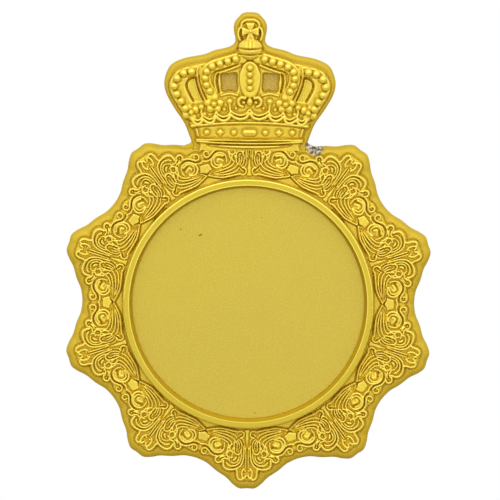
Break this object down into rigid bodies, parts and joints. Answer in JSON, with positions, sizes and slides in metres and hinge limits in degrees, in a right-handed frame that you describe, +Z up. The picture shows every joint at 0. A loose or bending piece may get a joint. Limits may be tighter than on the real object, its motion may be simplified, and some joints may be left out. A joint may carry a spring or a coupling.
{
  "type": "cap badge",
  "caption": "Gilt cap badge: a scrolled star plate under a crown, a plain round centre recess for an emblem, and two screw posts with captive washers and knurled thumb nuts at the back.",
  "frame": {"origin": "centre of the star on its flat back face", "axes": "the face looks along -Y and the screw posts stand along +Y; +Z is up, towards the crown; +X is to the right of somebody who looks at the face"},
  "size_m": [0.0402, 0.0135, 0.0528],
  "materials": {
    "gilt_star": "gilt casting, satin",
    "gilt_crown": "gilt casting, satin",
    "gilt_disc": "gilt, fine matt blast",
    "gilt_ring": "gilt, smooth satin",
    "dull_brass": "unplated sheet, dull",
    "solder": "bare grey solder",
    "card": "brown fibre card",
    "post_brass": "turned brass",
    "nut_brass": "knurled, turned brass",
    "washer_brass": "tumbled brass"
  },
  "bodies": {
    "badge": {"star_plate": "gilt_star", "crown": "gilt_crown", "crown_backing_plate": "dull_brass", "crown_solder": "solder", "backing_card": "card", "centre_disc": "gilt_disc", "centre_ring": "gilt_ring", "left_stud": "post_brass", "left_stud_solder": "solder", "right_stud": "post_brass", "right_stud_solder": "solder"},
    "left_washer": {"left_washer": "washer_brass"},
    "left_nut": {"left_nut": "nut_brass"},
    "right_washer": {"right_washer": "washer_brass"},
    "right_nut": {"right_nut": "nut_brass"}
  },
  "joints": [
    {"name": "left_washer_slide", "type": "slide", "parent": "badge", "child": "left_washer", "axis": [0, 1, 0], "range_m": [0, 0.009]},
    {"name": "left_nut_spin", "type": "hinge", "parent": "left_washer", "child": "left_nut", "pos_m": [-0.0095, 0, 0.003], "axis": [0, 1, 0], "range_deg": [0, 6481]},
    {"name": "right_washer_slide", "type": "slide", "parent": "badge", "child": "right_washer", "axis": [0, 1, 0], "range_m": [0, 0.009]},
    {"name": "right_nut_spin", "type": "hinge", "parent": "right_washer", "child": "right_nut", "pos_m": [0.0095, 0, 0.003], "axis": [0, 1, 0], "range_deg": [0, 6481]}
  ],
  "couplings": [
    {"joint": "left_nut_spin", "follows": "left_washer_slide", "rad_per_m": 12566},
    {"joint": "right_nut_spin", "follows": "right_washer_slide", "rad_per_m": 12566}
  ]
}
